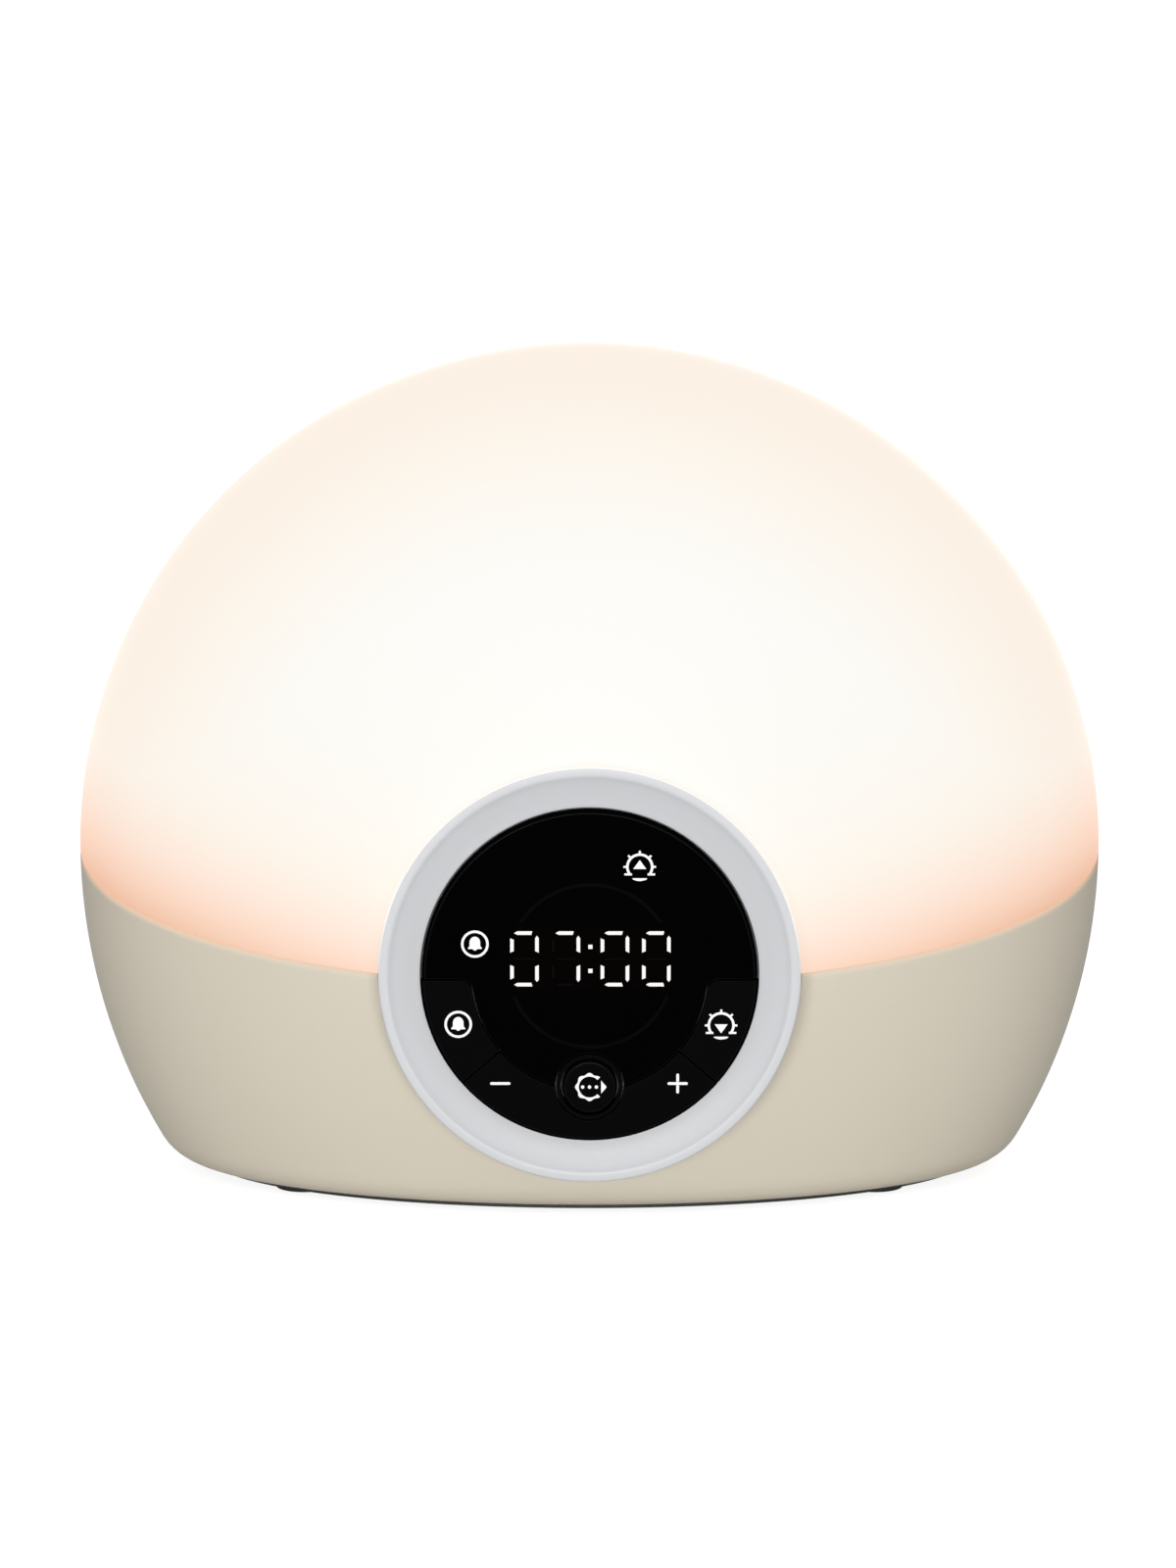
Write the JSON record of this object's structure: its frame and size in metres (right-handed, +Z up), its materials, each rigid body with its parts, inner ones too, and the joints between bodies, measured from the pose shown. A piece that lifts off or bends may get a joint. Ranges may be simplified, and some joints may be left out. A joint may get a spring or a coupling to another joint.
{
  "type": "sunrise alarm clock",
  "caption": "Domed bedside wake-up light with a glowing diffuser over a putty-coloured housing, and a round front panel with a lit time display and press keys.",
  "frame": {"origin": "bottom centre of the whole clock, on the surface that it stands on", "axes": "+X to the viewer's right, +Y to the back, +Z up; the display faces -Y"},
  "size_m": [0.21, 0.124, 0.1709],
  "materials": {
    "opal_diffuser": "satin opal, softly glowing when lit",
    "putty_paint": "satin putty-grey paint",
    "silver_plastic": "satin light grey",
    "black_gloss": "gloss black",
    "black_key": "satin-gloss black",
    "dark_base": "matt black",
    "amber_light": "lit amber",
    "black_rubber": "matt",
    "steel": "plated",
    "grey_plastic": "matt",
    "green_board": "satin solder resist",
    "white_tray": "gloss white",
    "aluminium_plate": "mill finish",
    "white_board": "satin white resist",
    "lamp_phosphor": "clear yellow",
    "lamp_amber": "clear amber",
    "black_parts": "matt",
    "wire_sleeve": "soft sleeve"
  },
  "bodies": {
    "clock": {"amber_lamps": "lamp_amber", "base_plate": "dark_base", "base_screws": "steel", "bezel_ring": "silver_plastic", "control_board": "green_board", "control_board_parts": "black_parts", "control_board_screws": "steel", "diffuser_dome": "opal_diffuser", "digit_windows": "amber_light", "display_lens": "black_gloss", "display_wires": "wire_sleeve", "heat_spreader": "aluminium_plate", "jack_screws": "steel", "key_frame": "grey_plastic", "key_switches": "black_parts", "lamp_board": "white_board", "lamp_board_screws": "steel", "lamp_wires": "wire_sleeve", "led_display_module": "grey_plastic", "lower_housing": "putty_paint", "main_board": "green_board", "main_board_parts": "black_parts", "main_board_screws": "steel", "mode_collar": "silver_plastic", "pod_cover": "grey_plastic", "pod_cover_screws": "steel", "power_jack": "black_parts", "power_wires": "wire_sleeve", "reflector_tray": "white_tray", "rocker_pin": "steel", "rubber_feet": "black_rubber", "sounder": "black_parts", "tray_screws": "steel", "white_lamps": "lamp_phosphor"},
    "alarm_key": {"alarm_key": "black_key", "alarm_switch_stem": "white_tray"},
    "light_key": {"light_key": "black_key", "light_switch_stem": "white_tray"},
    "mode_key": {"mode_key": "black_key", "mode_switch_stem": "white_tray"},
    "minus_plus_rocker": {"minus_plus_rocker": "black_key", "rocker_switch_stems": "white_tray"}
  },
  "joints": [
    {"name": "alarm_key_press", "type": "slide", "parent": "clock", "child": "alarm_key", "axis": [0, 1, 0], "range_m": [0, 0.0005], "stiffness_N_per_m": 1600, "springref_m": -0.0004},
    {"name": "light_key_press", "type": "slide", "parent": "clock", "child": "light_key", "axis": [0, 1, 0], "range_m": [0, 0.0005], "stiffness_N_per_m": 1600, "springref_m": -0.0004},
    {"name": "mode_key_press", "type": "slide", "parent": "clock", "child": "mode_key", "axis": [0, 1, 0], "range_m": [0, 0.0005], "stiffness_N_per_m": 1600, "springref_m": -0.0004},
    {"name": "minus_plus_tilt", "type": "hinge", "parent": "clock", "child": "minus_plus_rocker", "pos_m": [0, -0.0552, 0.0215], "axis": [0, 0, 1], "range_deg": [-1.2, 1.2], "stiffness_Nm_per_rad": 1.17}
  ]
}
